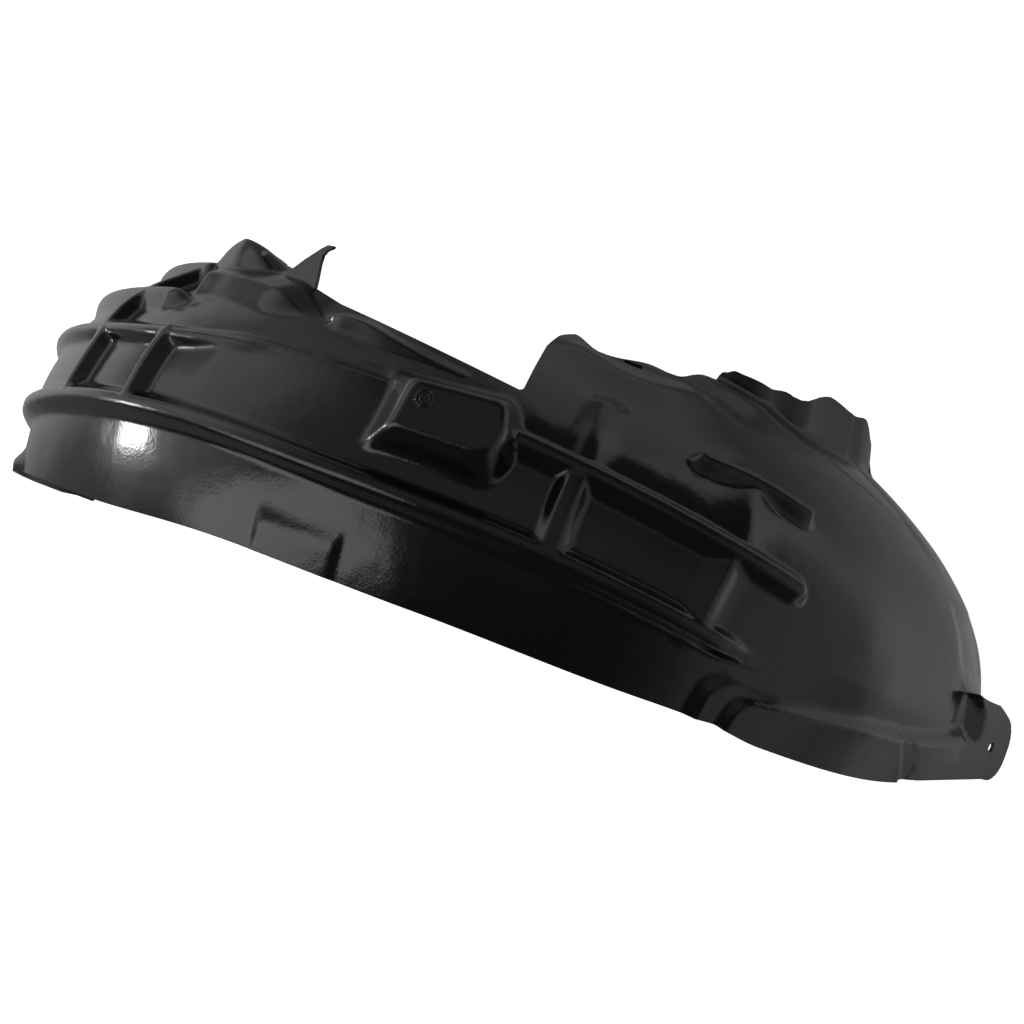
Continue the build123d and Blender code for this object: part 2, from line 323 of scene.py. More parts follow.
# %% Ribs at the rear
LEVEL = 400
RIB_BLEND = 4
rear_rows = {
    "tread row": rib(
        [(-97, 20), (-80, 36), (-65, 51), (-53, 61), (-37, 70.5), (-27, 73.5), (-7, 70.8)]
        + [(16.6, 65.5), (29.4, 57.5), (41, 47.5)],
        height=10, flanks=(6.5, 6.5), fades=(225, 45),
    ),
    "second row": rib(
        [(-97, 78), (-76, 99), (-50, 118), (-45.7, 120.5), (-39.6, 124), (-34.4, 127.5), (-27.3, 131.5)]
        + [(-20, 133.5), (-14, 133)],
        height=9.5, crest=6, flanks=(9, 5), fades=(0, 85),
    ),
    "second row's step": rib(
        [(-36, 133), (-29, 135.5), (-24, 137), (-18, 138), (-12, 138), (-5, 137.5)],
        height=7, crest=3, flanks=(9, 55), fades=(60, 0),
    ),
    "third row": rib(
        [(-97, 122), (-76, 141), (-62, 148), (-54, 152.5), (-50, 155), (-46, 157), (-41.5, 157.5)],
        height=10, crest=6, flanks=(8, 11), fades=(0, 26),
    ),
    "fourth row": rib(
        [(-97, 166), (-80, 176), (-70, 181.5), (-60, 183.5), (-52, 186)], height=12, flanks=(7, 8)
    ),
    "rear cross rib": rib(
        [(-49.2, 68), (-48.9, 93), (-49.3, 108), (-50.3, 120)]
        + [(-52.2, 143), (-52.4, 156), (-53, 170), (-54, 185)],
        height=9.5, flanks=(6, 6),
    ),
    "second cross rib": rib([(-36.3, 74), (-36.6, 100), (-37.2, 127)], height=10, flanks=(6, 6)),
    "inner ridge": rib(
        [(-46.5, 175.5), (-43.2, 178.2), (-39.5, 178.5), (-35.2, 178)]
        + [(-30.7, 176.3), (-27.9, 175.2), (-25.5, 174), (-22.5, 172.5)],
        height=13.5, crest=3, flanks=(80, 15), fades=(0, 48), square=(True, False),
    ),
    "ridge behind the box": rib(
        [(-18.6, 174), (-16, 174), (-12, 171.5), (-7, 169.5), (-3.7, 168), (-0.7, 166.5)],
        height=8.5, crest=3, flanks=(15, 8), fades=(0, 95),
    ),
    "rear rim": rib([(-97, 4), (-85, 4), (-72, 3)], height=8, crest=12, flanks=(9, 6)),
}
print(len(rear_rows), "ribs at the rear:", ", ".join(rear_rows))

# %% Ribs in front
front_rows = {
    "front row": rib(
        [(5, 133.5), (13, 129), (18, 126), (25, 121), (31, 116), (37, 110.5), (42, 105)],
        height=12, flanks=(8, 8.5),
    ),
    "short front row": rib(
        [(29.7, 165.5), (36.5, 164.5), (43.8, 157.5)], height=10.5, crest=7, flanks=(6.5, 7)
    ),
    "upright rib": rib([(15.3, 70), (15.3, 96), (15.6, 124)], height=10, crest=10, flanks=(8, 9)),
    "upright rib's upper end": rib(
        [(16, 124), (16.2, 143), (16.5, 160), (17, 179)], height=5.5, flanks=(10, 11)
    ),
    "upper front cross rib": rib([(36.8, 162), (35.6, 140), (34.8, 118)], height=6, crest=5, flanks=(17, 17)),
    "lower front cross rib": rib([(33.8, 106), (32.8, 82), (32.2, 58)], height=8, crest=2, flanks=(14, 14)),
    "terrace before the flange": rib(
        [(36.2, -10), (36.2, 5), (36.6, 21), (37.8, 26.5), (41, 27), (45, 28), (49, 28), (53, 29), (58, 32)],
        height=5, crest=1, flanks=(6, LEVEL),
    ),
    "front flange": rib(
        [(39.6, -10), (39.5, 8), (40, 17), (43, 22), (47, 25), (51, 27.5), (55.5, 31)]
        + [(60.7, 33.8), (65, 36.3), (73.7, 45.5), (78, 53)],
        crest=1, flanks=(7.5, LEVEL),
    ),
    "fold under the wavy trim": rib([(11, 217), (20, 208), (31, 216)], height=4, crest=4, flanks=(21, 21)),
    "swell before the lip": rib(
        [(26, 226), (33, 229), (38, 229), (43, 226), (49, 223), (57, 215)],
        height=8, crest=10, flanks=(LEVEL, 26), fades=(40, 70),
    ),
}
height = np.zeros_like(angle)
for feature in [*rear_rows.values(), *front_rows.values()]:
    height = merge(height, feature, RIB_BLEND)
print(len(front_rows), "ribs in front, and the highest of all is", height.max().round(1), "mm")

# %% [markdown]
# ## Spring box
# The box that clears the spring is a block with a flat leaning lid and four drafted sides. A block joined
# on as a solid would have hard corners, so here each face is a plane, and the box's height is the lowest
# of the planes, with soft corners. Its front end is a rounded wall, with its foot given by the angle at a
# few distances y.

# %% Spring box
LID_ORIGIN, LID_LEAN = (10, 133, 399), 16
LID_CORNERS = [(-32, 17), (-35, -20), (37, -19), (46, 23)]
FOOT_ORIGIN, FOOT_LEAN = (10, 130, 350), 35
FOOT_CORNERS = [(-56, 36), (-76, -42), (52, -56), (62, 38)]
FRONT_FOOT = [(95, 8.2), (109, 9.5), (125, 9.3), (138, 8.8), (149, 7.7), (158, 6.5), (166, 5)]
FRONT_SLOPE, LEAST_DRAFT, LEAST_SLANT = 1.9, 0.4, 0.05
BOX_DEPTH, BOX_ANGLE, BOX_FROM_Y = 60, 25, 50


def leaning_frame(origin, lean):
    sideways, up = sin(radians(lean)), cos(radians(lean))
    return np.array(origin, float), np.array([1.0, 0, 0]), np.array([0, up, -sideways])


def corners(plane, outline):
    origin, x_dir, y_dir = plane
    return [origin + x * x_dir + y * y_dir for x, y in outline]


def up_to_plane(point, normal):
    """How far each point of the net is from a plane, measured the way the tool faces."""
    slant = facing @ normal
    return np.where(slant > LEAST_SLANT, ((point - net) @ normal) / np.maximum(slant, LEAST_SLANT), -NOWHERE)


def spring_box():
    lid = corners(leaning_frame(LID_ORIGIN, LID_LEAN), LID_CORNERS)
    foot = corners(leaning_frame(FOOT_ORIGIN, FOOT_LEAN), FOOT_CORNERS)
    inside = sum(lid) / 4 - np.array([0, 0, BOX_DEPTH])
    sides = []
    for i in range(4):
        after = (i + 1) % 4
        normal = np.cross(lid[after] - lid[i], (foot[i] + foot[after]) / 2 - lid[i])
        normal *= np.sign(normal @ (lid[i] - inside)) / np.linalg.norm(normal)
        x, y, z = (lid[i] + lid[after]) / 2
        out = place(np.degrees(np.arctan2(x, z)), y)[1]
        normal = normal + max(0, LEAST_DRAFT - normal @ out) * out
        sides.append(up_to_plane(lid[i], normal / np.linalg.norm(normal)))
    rear, fender, front, engine = sides
    walls = soft_min(soft_min(fender, front, blend=30), engine, blend=24)
    walls = soft_min(walls, rear, blend=9)
    front_foot = np.interp(net[..., 1], *zip(*FRONT_FOOT))
    walls = soft_min(walls, FRONT_SLOPE * DEGREE * (front_foot - angle), blend=10)
    top = np.cross(lid[1] - lid[0], lid[2] - lid[0])
    box = soft_min(walls, up_to_plane(lid[0], top / np.linalg.norm(top)), blend=5)
    return np.where((np.abs(angle) < BOX_ANGLE) & (net[..., 1] > BOX_FROM_Y), box, NOWHERE)


box = spring_box()
height = merge(height, box, blend=5)
print("the spring box stands", box.max().round(1), "mm off the tool")

# %% [markdown]
# ## Cone
# A blunt cone stands by the opening at the rear. It is turned about the way the tool faces at its seat,
# as a boss on the tool would be. Its base is longer along the arch than across it, so distances across
# count more.

# %% Cone
TIP_ROUND, CONE_REACH, LEAST_FACING = 14, 80, 0.3


def cone_boss(angle_at, y_at, tall, tip, spread, squash):
    """A cone on a base that is longer along the arch than across it."""
    seat, out = place(angle_at, y_at)
    offset = net - seat
    lift = offset @ out
    along = offset @ np.array([cos(radians(angle_at)), 0, -sin(radians(angle_at))])
    away = np.sqrt(along**2 + squash**2 * np.maximum((offset**2).sum(-1) - lift**2 - along**2, 0))
    flank = tall - (away - tip) * tall / (spread - tip)
    shape = soft_min(flank, np.full_like(flank, tall), TIP_ROUND) - lift
    return np.where(away < CONE_REACH, shape / np.maximum(facing @ out, LEAST_FACING), NOWHERE)


cone = cone_boss(angle_at=-46, y_at=196, tall=31, tip=5, spread=57, squash=2.2)
height = merge(height, cone, blend=6)
print("the cone stands", cone.max().round(1), "mm off the tool")

# %% [markdown]
# ## Ear
# The ear is the flat tab with a screw hole at the front. It is a plane that stands off the tread and ends
# at a ledge, and the wall of the ledge rises with the distance from a line drawn on that plane. A shallow
# groove crosses the flange before it.

# %% Ear
EAR_ANGLE, EAR_REACH, EAR_TOP = 68, 396, 91
EAR_LEDGE = [(-10, -60), (-10, 36), (29, 43), (63, 51), (76, 62), (66, EAR_TOP), (300, EAR_TOP)]
LEDGE_SLOPE, TOP_SLOPE = 1, 8
ear_out = np.array([sin(radians(EAR_ANGLE)), 0, cos(radians(EAR_ANGLE))])
ear_along = np.array([ear_out[2], 0, -ear_out[0]])


def ear_pad():
    """The ear's flat plate, which stands off the tread and ends at a ledge."""
    lid = up_to_plane(ear_out * EAR_REACH, ear_out)
    lifted = net + lid[..., None] * facing
    x, y = lifted @ ear_along, lifted[..., 1]
    nearest, side, slope = np.full_like(x, 1e9), np.full_like(x, -1.0), np.ones_like(x)
    for (x0, y0), (x1, y1) in zip(EAR_LEDGE, EAR_LEDGE[1:]):
        dx, dy = x1 - x0, y1 - y0
        t = np.clip(((x - x0) * dx + (y - y0) * dy) / (dx * dx + dy * dy), 0, 1)
        gap = np.hypot(x - x0 - t * dx, y - y0 - t * dy)
        closer = gap < nearest - 1e-6
        side = np.where(closer, np.sign((x - x0) * dy - (y - y0) * dx), side)
        slope = np.where(closer, TOP_SLOPE if y0 == EAR_TOP else LEDGE_SLOPE, slope)
        nearest = np.minimum(gap, nearest)
    side = np.where(y > EAR_TOP, -1.0, side)
    wall = slope * side * nearest
    return np.where((angle > 50) & (lid < 80), soft_min(lid, wall, blend=4), NOWHERE)


height = merge(height, ear_pad(), blend=12)
ear_groove = rib([(64.5, 37), (66.4, 24), (70, 2)], height=1.6, crest=9, flanks=(5, 5))
height -= np.clip(ear_groove, 0, np.maximum(height, 0))
print("the ear's plate is", EAR_REACH, "mm from the axle")

# %% [markdown]
# ## Clip pad and legs
# By the fender's edge is a low pad for a clip, which rises from the edge and dies away on the tread. Each
# leg is drawn in by a few millimetres over part of its width, because a formed sheet is never quite a
# turned body.

# %% Clip pad and legs
PAD_ANGLE, PAD_HALF, PAD_END = -9.7, 33, 30
REAR_DRAW = 4.6
across_y = net[..., 1]
along_pad = DEGREE * (angle - PAD_ANGLE)
pad = soft_min(0.3 + 0.09 * across_y, 0.3 * (PAD_END - across_y), blend=2)
pad = soft_min(pad, 0.9 * (PAD_HALF - np.abs(along_pad)), blend=3)
height = merge(height, np.where((angle > -19) & (angle < -1), pad, NOWHERE), blend=3)
rear_leg = 1 - smooth_step(-80, -62, angle)
height -= REAR_DRAW * rear_leg * (smooth_step(12, 45, across_y) - smooth_step(105, 138, across_y))
front_leg = smooth_step(74, 79, angle) * (1 - smooth_step(90, 96, angle))
height += front_leg * smooth_through([(90, 0), (110, -3.5), (138, -3.5), (152, 0), (185, 2)], across_y)
print("with everything on it the sheet stands up to", height.max().round(1), "mm off the tool")

# %% [markdown]
# ## Lip
# Over the front dome the sheet turns off the tool at the opening and stands out as a lip with a wavy
# trim. The lip is a few more rows of the net, each one step further on along a lean that bends to the
# lip's own.

# %% Lip rows
LIP_LEAN, LIP_BEND = radians(12), 12


def lip_length(angle):
    """How far the lip stands off the opening's edge: a wavy trim."""
    rising = [(36.3, 0.8), (38.6, 12), (41, 16.5), (48, 20), (53, 27), (63.5, 43.5)]
    falling = [(72, 41), (79.5, 42), (87.5, 29), (90.5, 0.8)]
    return smooth_through(rising + falling, angle)


outer = net + height[..., None] * facing
edge_lean = np.interp(run[-1], RUN, PROFILE_LEAN)
edge_angle, edge_point = angle[-1], outer[-1]
around = np.radians(edge_angle)
lip, y, radius = [], edge_point[:, 1].copy(), np.hypot(edge_point[:, 0], edge_point[:, 2])
step = lip_length(edge_angle) / LIP_ROWS
for i in range(LIP_ROWS):
    lean = edge_lean + (LIP_LEAN - edge_lean) * smooth_step(0, LIP_BEND, (i + 0.5) * step)
    y, radius = y + step * np.cos(lean), radius - step * np.sin(lean)
    lip.append(np.stack([radius * np.sin(around), y, radius * np.cos(around)], -1))
outer = np.concatenate([outer, np.array(lip)])
print("the lip is up to", lip_length(edge_angle).max().round(1), "mm long")

# %% [markdown]
# ## From net to sheet
# The lifted net is the sheet's outer face. Its inner face follows one wall's thickness below, on every
# second row and column, because nobody reads fine curves from inside the wheel's house. A rim joins the
# two, so the sheet is closed and can be trimmed like a solid.

# %% Inner face and rim
normal = np.cross(np.gradient(outer, axis=1), np.gradient(outer, axis=0))
normal /= np.linalg.norm(normal, axis=-1, keepdims=True)
inner = (outer - WALL * normal)[::2, ::2]


def net_faces(rows, columns, start):
    i, j = np.meshgrid(np.arange(rows - 1), np.arange(columns - 1), indexing="ij")
    corner = start + i * columns + j
    return np.stack([corner, corner + 1, corner + columns + 1, corner + columns], -1).reshape(-1, 4)


def rim_faces(outside, inside):
    """Faces between an outer border and the inner one, which has every second point."""
    return [
        (outside[2 * k], outside[2 * k + 1], outside[2 * k + 2], inside[k + 1], inside[k])
        for k in range(len(inside) - 1)
    ]


outer_index = np.arange(outer[..., 0].size).reshape(outer.shape[:2])
inner_index = outer_index.size + np.arange(inner[..., 0].size).reshape(inner.shape[:2])
faces = net_faces(*outer.shape[:2], 0).tolist()
faces += net_faces(*inner.shape[:2], outer_index.size)[:, ::-1].tolist()
faces += rim_faces(outer_index[0, ::-1].tolist(), inner_index[0, ::-1].tolist())
faces += rim_faces(outer_index[-1].tolist(), inner_index[-1].tolist())
faces += rim_faces(outer_index[:, 0].tolist(), inner_index[:, 0].tolist())
faces += rim_faces(outer_index[::-1, -1].tolist(), inner_index[::-1, -1].tolist())
points = np.concatenate([outer.reshape(-1, 3), inner.reshape(-1, 3)])


def new_piece(name, points, faces):
    """A mesh object from points in millimetres about the axle, set in the liner's frame."""
    mesh = bpy.data.meshes.new(name)
    mesh.from_pydata(((np.asarray(points) + AXLE) * MM).tolist(), [], faces)
    piece = bpy.data.objects.new(name, mesh)
    bpy.context.scene.collection.objects.link(piece)
    return piece


sheet = new_piece("formed_sheet", points, faces)
print("sheet has", len(sheet.data.vertices), "points and", len(sheet.data.polygons), "faces")

# %% [markdown]
# ## Trimming
# After forming, the sheet is trimmed by a router: level feet, the notch for the strut, the ear's outline,
# and a few holes. Each trim is a prism taken away by a boolean, and the small fin is one added.

# %% Prisms and booleans
def rounded(outline, radii, steps=6):
    """An outline with its corners rounded to the radii given by corner number."""
    result, count = [], len(outline)
    for i, corner in enumerate(np.array(outline, float)):
        before = np.array(outline[i - 1], float) - corner
        after = np.array(outline[(i + 1) % count], float) - corner
        before, after = before / np.linalg.norm(before), after / np.linalg.norm(after)
        if i not in radii:
            result.append(corner)
            continue
        half = np.arccos(np.clip(before @ after, -1, 1)) / 2
        bisector = (before + after) / np.linalg.norm(before + after)
        centre = corner + bisector * radii[i] / np.sin(half)
        reach = radii[i] / np.tan(half)
        a, b = corner + before * reach - centre, corner + after * reach - centre
        for t in np.linspace(0, 1, steps + 1):
            spoke = a * (1 - t) + b * t
            result.append(centre + spoke / np.linalg.norm(spoke) * radii[i])
    return np.array(result)


def prism(outline, origin, x_dir, z_dir, low, high):
    """A closed prism on an outline drawn in the plane with this X and this normal."""
    x_dir, z_dir = np.array(x_dir, float), np.array(z_dir, float)
    y_dir = np.cross(z_dir, x_dir)
    flat = np.array(origin, float) + np.outer(outline[:, 0], x_dir) + np.outer(outline[:, 1], y_dir)
    count = len(flat)
    area = np.sum(outline[:, 0] * np.roll(outline[:, 1], -1) - outline[:, 1] * np.roll(outline[:, 0], -1))
    order = np.arange(count) if area > 0 else np.arange(count)[::-1]
    flat = flat[order]
    ring = list(range(count))
    sides = [(i, (i + 1) % count, count + (i + 1) % count, count + i) for i in ring]
    ends = [tuple(ring[::-1]), tuple(count + i for i in ring)]
    return new_piece("prism", np.concatenate([flat + low * z_dir, flat + high * z_dir]), sides + ends)


def combine(piece, other, operation):
    """Cuts the other piece from this one, or joins it on, and removes it."""
    step = piece.modifiers.new("trim", "BOOLEAN")
    step.operation, step.object, step.solver = operation, other, "MANIFOLD"
    made = bpy.data.meshes.new_from_object(piece.evaluated_get(bpy.context.evaluated_depsgraph_get()))
    piece.modifiers.clear()
    piece.data = made
    bpy.data.objects.remove(other)


def circle(radius, count=32):
    turn = np.linspace(0, 2 * np.pi, count, endpoint=False)
    return np.stack([radius * np.cos(turn), radius * np.sin(turn)], -1)


print("a round hole is a prism on", len(circle(radius=1)), "points")

# %% [markdown]
# The notch and the feet are cut straight down or level, as the router's table holds the sheet. The ear's
# outline and its screw hole are cut square to the ear, and the slot square to the sheet.

# %% Feet, notch, ear, slot and holes
ORIGIN, AHEAD, UP = (0, 0, 0), (1, 0, 0), (0, 0, 1)
NOTCH = [
    (-120, 191), (38.5, 170.3), (30, 212), (36, 300), (-194, 300),
    (-188, 211), (-163, 207), (-153, 203.5), (-146, 197),
]
PAST_EAR = [
    (60, EAR_TOP), (100, 90), (144, 77), (143, 33), (116, 31),
    (-10, 8), (-10, -60), (300, -60), (300, EAR_TOP),
]
SLOT_ANGLE, SLOT_Y, SLOT_SIZE = 20.3, 222.6, (14, 6.5)
SLOT_TURN = radians(20)
EAR_HOLE, EAR_HOLE_AT = 4, (114, 56)
CONE_HOLE, CONE_HOLE_AT = 3, (-205, 213)
square = np.array([(-0.5, -0.5), (0.5, -0.5), (0.5, 0.5), (-0.5, 0.5)])
ear_outline = rounded(PAST_EAR, {1: 80, 2: 24, 3: 20})
slot_at, slot_out = place(SLOT_ANGLE, SLOT_Y)
slot_along = [cos(SLOT_TURN), 0, -sin(SLOT_TURN)]
ear_at = ear_out * EAR_REACH
trims = [
    prism(square * 1200, (0, 0, -FOOT_DROP), AHEAD, UP, low=-300, high=0),
    prism(rounded(NOTCH, {0: 8, 1: 2.5}), ORIGIN, AHEAD, UP, low=100, high=480),
    prism(ear_outline, ear_at, ear_along, ear_out, low=-90, high=30),
    prism(circle(EAR_HOLE) + EAR_HOLE_AT, ear_at, ear_along, ear_out, low=-12, high=12),
    prism(square * SLOT_SIZE, slot_at, slot_along, slot_out, low=-25, high=25),
    prism(circle(CONE_HOLE) + CONE_HOLE_AT, ORIGIN, AHEAD, UP, low=200, high=270),
]
for trim in trims:
    combine(sheet, trim, "DIFFERENCE")
print("trimmed sheet has", len(sheet.data.polygons), "faces")

# %% [markdown]
# Beside the notch a thin hooked fin stands up from the inner edge. It is one flat prism with the wall's
# thickness, joined on to the sheet.

# %% Fin beside the notch
FIN_ANGLE, FIN_RADIUS = -33, 310
fin_out = np.array([sin(radians(FIN_ANGLE)), 0, cos(radians(FIN_ANGLE))])
fin_along = np.array([fin_out[2], 0, -fin_out[0]])
FIN = [
    (-13, 196), (-9.2, 199.9), (-2.4, 206.6), (6.8, 215.2), (14.8, 221.6), (20.4, 226), (25.5, 229.2),
    (32.1, 229.5), (31.9, 227.9), (26.6, 225.1), (24.1, 221.2), (24.6, 215.1), (25.8, 209.8),
    (27.6, 202.4), (28.5, 196),
]
fin = prism(np.array(FIN), fin_out * FIN_RADIUS, fin_along, fin_out, low=-WALL, high=0)
combine(sheet, fin, "UNION")
print("sheet with its fin has", len(sheet.data.polygons), "faces")

# %% [markdown]
# The lid has a small raised ring. It is two thin rings of round section, one in the other, joined on to
# the sheet.

# %% Plain ring on the lid
def torus(centre, x_dir, y_dir, radius, tube, steps=40, sides=10):
    turns = [np.linspace(0, 2 * np.pi, count, endpoint=False) for count in (steps, sides)]
    around, about = np.meshgrid(*turns, indexing="ij")
    x_dir, y_dir = np.array(x_dir, float), np.array(y_dir, float)
    reach = (radius + tube * np.cos(about))[..., None]
    spoke = np.cos(around)[..., None] * x_dir + np.sin(around)[..., None] * y_dir
    rise = (tube * np.sin(about))[..., None] * np.cross(x_dir, y_dir)
    index = np.arange(steps * sides).reshape(steps, sides)
    ahead, up = np.roll(index, -1, 0), np.roll(index, -1, 1)
    faces = np.stack([index, ahead, np.roll(ahead, -1, 1), up], -1).reshape(-1, 4)
    points = np.array(centre, float) + reach * spoke + rise
    return new_piece("torus", points.reshape(-1, 3), faces.tolist())


RING_AT, RING_RADII, RING_TUBE = (-18.8, 5.7), (6.1, 3.6), 0.95
lid_origin, lid_x, lid_y = leaning_frame(LID_ORIGIN, LID_LEAN)
ring_centre = lid_origin + RING_AT[0] * lid_x + RING_AT[1] * lid_y
for ring_radius in RING_RADII:
    combine(sheet, torus(ring_centre, lid_x, lid_y, ring_radius, RING_TUBE), "UNION")
print("sheet with its ring has", len(sheet.data.polygons), "faces")

# %% [markdown]
# ## Shading
# The faces are smooth, so that light runs over the net without steps, and only the trimmed rims stay
# sharp.

# %% Smooth faces and sharp rims
RIM_ANGLE = 48
shaped = bmesh.new()
shaped.from_mesh(sheet.data)
for face in shaped.faces:
    face.smooth = True
for edge in shaped.edges:
    edge.smooth = not edge.is_manifold or edge.calc_face_angle(0) < radians(RIM_ANGLE)
shaped.to_mesh(sheet.data)
shaped.free()
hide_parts("wheel_arch_liner")
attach(sheet, "root")
sheet.data.calc_loop_triangles()
print("triangles:", len(sheet.data.loop_triangles))

# %% [markdown]
# ## Black polyethylene, vacuum formed
# The sheet is high-density polyethylene filled with carbon black. It goes soft over the tool and is
# sucked down, so the side that shows never touched a polished face: it keeps a fine orange peel, long
# slack waves between the ribs, and the soft edges of a sheet that could not quite fill the corners. To
# the eye that is a deep black with broad grey reflections that break up a little, and a thin bright line
# along each rib. The waves and the peel are bump. The soft edges are a bevelled normal, because they are
# finer than the net.

# %% Material for the sheet
WAVE, WAVE_DEPTH = 38 * MM, 0.7 * MM
STREAK, STREAK_DEPTH, STREAK_STRETCH = 9 * MM, 0.4 * MM, 0.08
PEEL, PEEL_DEPTH = 2.2 * MM, 0.07 * MM
CLOUD, SPECK, EDGE = 60 * MM, 1.3 * MM, 1.5 * MM
POLYETHYLENE_IOR = 1.54


def formed_polyethylene():
    material = bpy.data.materials.new("black_polyethylene_vacuum_formed")
    material.use_nodes = True
    tree = material.node_tree
    shader = tree.nodes["Principled BSDF"]
    spot = add_node(tree, "ShaderNodeTexCoord").outputs["Object"]
    ahead = add_node(tree, "ShaderNodeSeparateXYZ", {"Vector": spot}).outputs["X"]
    # Long waves of the slack sheet, over softened edges
    soft_edge = add_node(tree, "ShaderNodeBevel", {"Radius": EDGE}, samples=2).outputs["Normal"]
    waved = bump(tree, noise(tree, spot, WAVE, 2.0), soft_edge, WAVE_DEPTH)
    # Stretch marks across the front, where the sheet was drawn thinnest
    grain = (1 / STREAK, STREAK_STRETCH / STREAK, 1 / STREAK)
    drawn_out = add_node(tree, "ShaderNodeVectorMath", {0: spot, 1: grain}, operation="MULTIPLY")
    at_front = ramp(tree, ahead, 0.3, 0.38, 0.0, 1.0, shape="LINEAR")
    marked = bump(tree, noise(tree, drawn_out.outputs["Vector"], 1.0, 3.0), waved, STREAK_DEPTH, at_front)
    # Orange peel over all of it
    peeled = bump(tree, noise(tree, spot, PEEL, 1.0), marked, PEEL_DEPTH)
    tree.links.new(peeled, shader.inputs["Normal"])
    # The gloss is uneven where the sheet cooled unevenly
    gloss = ramp(tree, noise(tree, spot, CLOUD, 4.0), 0.3, 0.7, 0.13, 0.21, shape="LINEAR")
    tree.links.new(gloss, shader.inputs["Roughness"])
    # Dust lies on it as a few pale specks
    dusty = ramp(tree, noise(tree, spot, SPECK, 0.0), 0.81, 0.86, 0.0, 0.4, shape="LINEAR")
    colour = add_node(tree, "ShaderNodeMix", {"Factor": dusty, "A": BLACK, "B": DUST}, data_type="RGBA")
    tree.links.new(colour.outputs["Result"], shader.inputs["Base Color"])
    shader.inputs["IOR"].default_value = POLYETHYLENE_IOR
    return material


black = formed_polyethylene()
sheet.data.materials.clear()
sheet.data.materials.append(black)
print("material:", black.name, "with", len(black.node_tree.nodes), "nodes")

# %% [markdown]
# ## Floor and light
# A black glossy thing is lit by what it mirrors. The liner stands on pale paper and has two soft boxes
# past its rear end: a tall one that draws the grey sheen on the tread, and a small low one that makes the
# hot spot. A wide lamp above lights the paper and gives the shadow, and is kept out of reflections,
# because above this camera the studio is dark. The paper glows for the camera alone, so that it looks
# white without more light on the liner. What the liner mirrors of the paper is painted light: for glossy
# rays the paper is black and glows by place, bright past both ends and darker beside the fender's edge
# and under the arch as a painted shadow. In a studio, flags and reflector boards do the same.

# %% Floor
FLOOR_REACH = 6.0
PAPER_ROUGHNESS, PAPER_GLOW = 0.9, 0.85
floor_corners = [(x * FLOOR_REACH, y * FLOOR_REACH, 0) for x, y in ((-1, -1), (1, -1), (1, 1), (-1, 1))]
floor_mesh = bpy.data.meshes.new("floor")
floor_mesh.from_pydata(floor_corners, [], [(0, 1, 2, 3)])
floor = bpy.data.objects.new("floor", floor_mesh)
bpy.context.scene.collection.objects.link(floor)
print("floor:", 2 * FLOOR_REACH, "m square")

# %% Paper and its painted reflection
paper = bpy.data.materials.new("white_paper_sweep")
paper.use_nodes = True
tree = paper.node_tree
paper_shader = tree.nodes["Principled BSDF"]
paper_shader.inputs["Roughness"].default_value = PAPER_ROUGHNESS
paper_shader.inputs["Emission Color"].default_value = WHITE
rays = add_node(tree, "ShaderNodeLightPath").outputs
spot = add_node(tree, "ShaderNodeTexCoord").outputs["Object"]
spot = add_node(tree, "ShaderNodeSeparateXYZ", {"Vector": spot}).outputs
# Painted reflection: a glow that the liner mirrors of the paper, set by place and not by the lamps, bright
# past both ends and darker near the liner as a painted shadow.
past_the_ends = maths(tree, "ABSOLUTE", spot["X"])
by_end = ramp(tree, past_the_ends, 0.2, 0.95, 0.18, 0.95)
by_fender = ramp(tree, spot["Y"], -0.32, 0.02, 0.06, 1.0)
by_fender = maths(tree, "MAXIMUM", by_fender, ramp(tree, spot["X"], 0.4, 0.8, 0.25, 0.65))
by_engine = ramp(tree, spot["Y"], 0.2, 0.75, 1.0, 0.35)
far_ahead = ramp(tree, spot["X"], 0.85, 1.5, 1.0, 0.5)
behind = ramp(tree, spot["Y"], 0.45, 0.7, 0.0, 0.3)
behind = maths(tree, "MULTIPLY", behind, ramp(tree, spot["X"], -0.45, -0.1, 0.0, 1.0))
lengthwise = maths(tree, "MULTIPLY", by_end, by_fender)
sideways = maths(tree, "MULTIPLY", by_engine, far_ahead)
painted_reflection = maths(tree, "MULTIPLY_ADD", lengthwise, sideways, behind)
glow = maths(tree, "MULTIPLY", rays["Is Camera Ray"], PAPER_GLOW)
shine_out = maths(tree, "MULTIPLY_ADD", rays["Is Glossy Ray"], painted_reflection, glow)
# For glossy rays the paper is black, so the liner mirrors the painted reflection in place of the paper's real
# light and shadow.
colour = {"Factor": rays["Is Glossy Ray"], "A": PAPER, "B": linear("#000000")}
paper_colour = add_node(tree, "ShaderNodeMix", colour, data_type="RGBA").outputs["Result"]
tree.links.new(paper_colour, paper_shader.inputs["Base Color"])
tree.links.new(shine_out, paper_shader.inputs["Emission Strength"])
floor_mesh.materials.append(paper)
print("paper:", paper.name, "with", len(tree.nodes), "nodes")

# %% [markdown]
# Each lamp is a rectangle that looks at the liner's middle. What shows of a lamp is its reflection, so
# the hot spot's lamp is small and the sheen's lamp is as tall as a door.

# %% Soft boxes
middle = (cad_low + cad_high) / 2


def soft_box(name, azimuth, elevation, distance, width, height, watts):
    """A rectangular lamp that looks at the liner's middle."""
    lamp = bpy.data.lights.new(name, "AREA")
    lamp.shape = "RECTANGLE"
    lamp.size, lamp.size_y = width, height
    lamp.energy = watts
    box = bpy.data.objects.new(name, lamp)
    away = direction(azimuth, elevation)
    box.location = middle + away * distance
    box.rotation_mode = "QUATERNION"
    box.rotation_quaternion = away.to_track_quat("Z", "Y")
    bpy.context.scene.collection.objects.link(box)
    return box


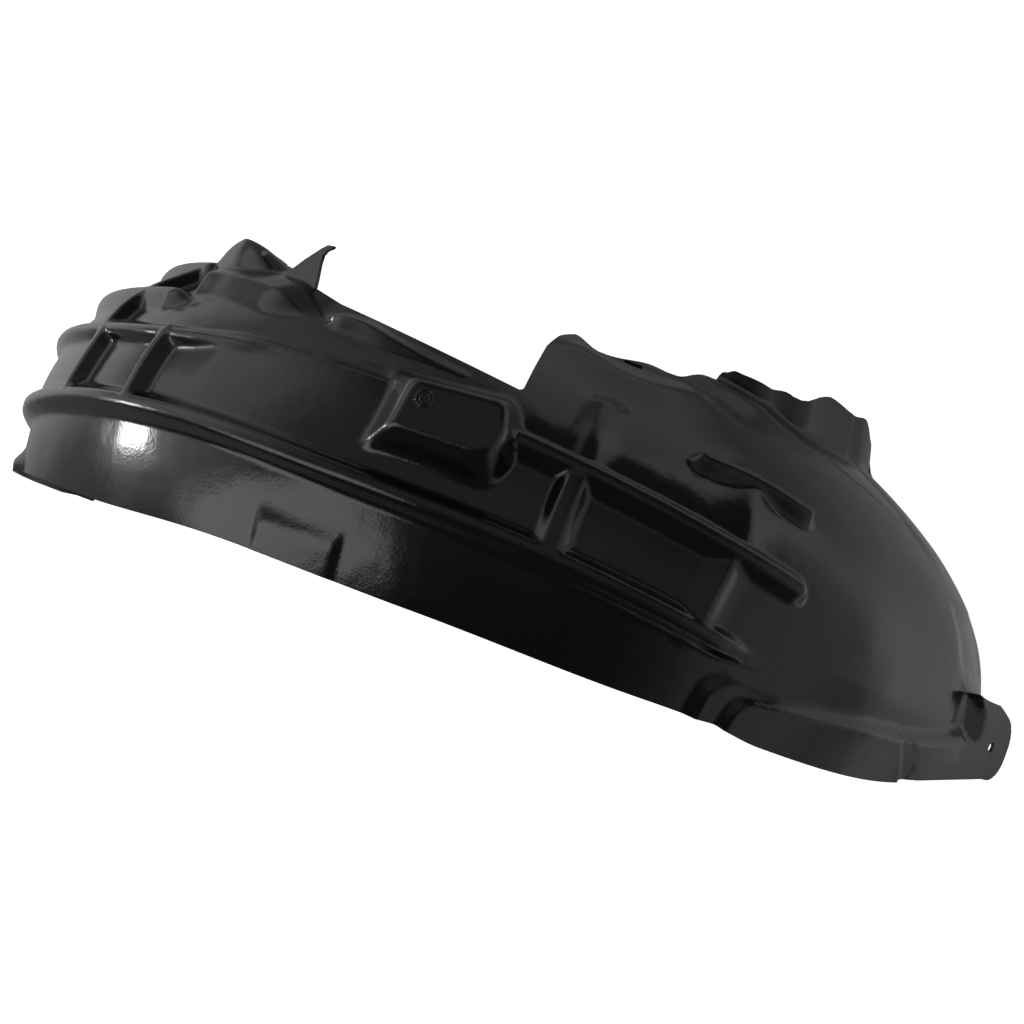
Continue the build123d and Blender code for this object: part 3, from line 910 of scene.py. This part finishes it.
sheen = soft_box(
    "tall_soft_box_at_the_rear", azimuth=300, elevation=47, distance=2.2, width=1.0, height=1.9, watts=11
)
hot_spot = soft_box(
    "low_soft_box_at_the_rear", azimuth=276.6, elevation=7.4, distance=2.0, width=0.13, height=0.26, watts=6
)
paper_lamp = soft_box(
    "wide_lamp_for_the_paper", azimuth=90, elevation=89, distance=2.6, width=3.0, height=3.0, watts=22
)
paper_lamp.visible_glossy = False
print("lamps:", [box.name for box in (sheen, hot_spot, paper_lamp)])

# %% [markdown]
# The studio's walls are the world: bright past the rear end, grey past the front end, and dark on both
# long sides and overhead. The camera itself sees white past the paper's edge.

# %% Studio walls
world = bpy.data.worlds.new("studio")
world.use_nodes = True
walls = world.node_tree
background = walls.nodes["Background"]
background.inputs["Color"].default_value = WHITE
rays = add_node(walls, "ShaderNodeLightPath").outputs
towards = add_node(walls, "ShaderNodeTexCoord").outputs["Generated"]
towards = add_node(walls, "ShaderNodeSeparateXYZ", {"Vector": towards}).outputs
rear_wall = ramp(walls, towards["X"], -0.85, -0.35, 0.95, 0.06)
rear_wall = maths(walls, "MULTIPLY", rear_wall, ramp(walls, towards["Y"], -0.5, -0.05, 0.08, 1.0))
front_wall = ramp(walls, towards["X"], 0.6, 0.95, 0.06, 0.45)
overhead = ramp(walls, towards["Y"], -0.35, 0.4, 0.04, 0.22)
upward = ramp(walls, towards["Z"], 0.3, 0.85, 0.0, 1.0)
ends = maths(walls, "MAXIMUM", rear_wall, front_wall)
ends = maths(walls, "MULTIPLY", ends, maths(walls, "SUBTRACT", 1.0, upward))
grey = maths(walls, "MULTIPLY_ADD", overhead, upward, ends)
seen = maths(walls, "MAXIMUM", grey, rays["Is Camera Ray"])
walls.links.new(seen, background.inputs["Strength"])
bpy.context.scene.world = world
bpy.context.scene.view_settings.view_transform = "Standard"
print("world:", world.name, "with", len(walls.nodes), "nodes")

# %% [markdown]
# ## Camera
# The photograph was taken with a long lens from above the fender's edge. Its camera was found by fitting
# the outlines of both legs, and it is written here as an aim, two angles, a roll and a distance.

# %% Camera
AIM = Vector((36.18, 94.24, 215.0))
CAMERA_AZIMUTH, CAMERA_ELEVATION, CAMERA_ROLL = 77.223, 77.715, radians(-57.350)
CAMERA_DISTANCE = 2381.8 * MM
lens = bpy.data.cameras.new("long_lens")
lens.sensor_width = 36
lens.lens = 114.9
lens.clip_end = 100
camera = bpy.data.objects.new("camera", lens)
aim = Vector(AXLE) * MM + AIM * MM
away = direction(CAMERA_AZIMUTH, CAMERA_ELEVATION)
turn = (-away).to_track_quat("-Z", "Y").to_matrix() @ Matrix.Rotation(CAMERA_ROLL, 3, "Z")
camera.matrix_world = Matrix.Translation(aim + away * CAMERA_DISTANCE) @ turn.to_4x4()
bpy.context.scene.collection.objects.link(camera)
bpy.context.scene.camera = camera
print("camera at", [round(c, 3) for c in camera.location])

# %% [markdown]
# ## Sizes
# The visual model keeps to the CAD model's box.

# %% Finish
bpy.context.view_layer.update()
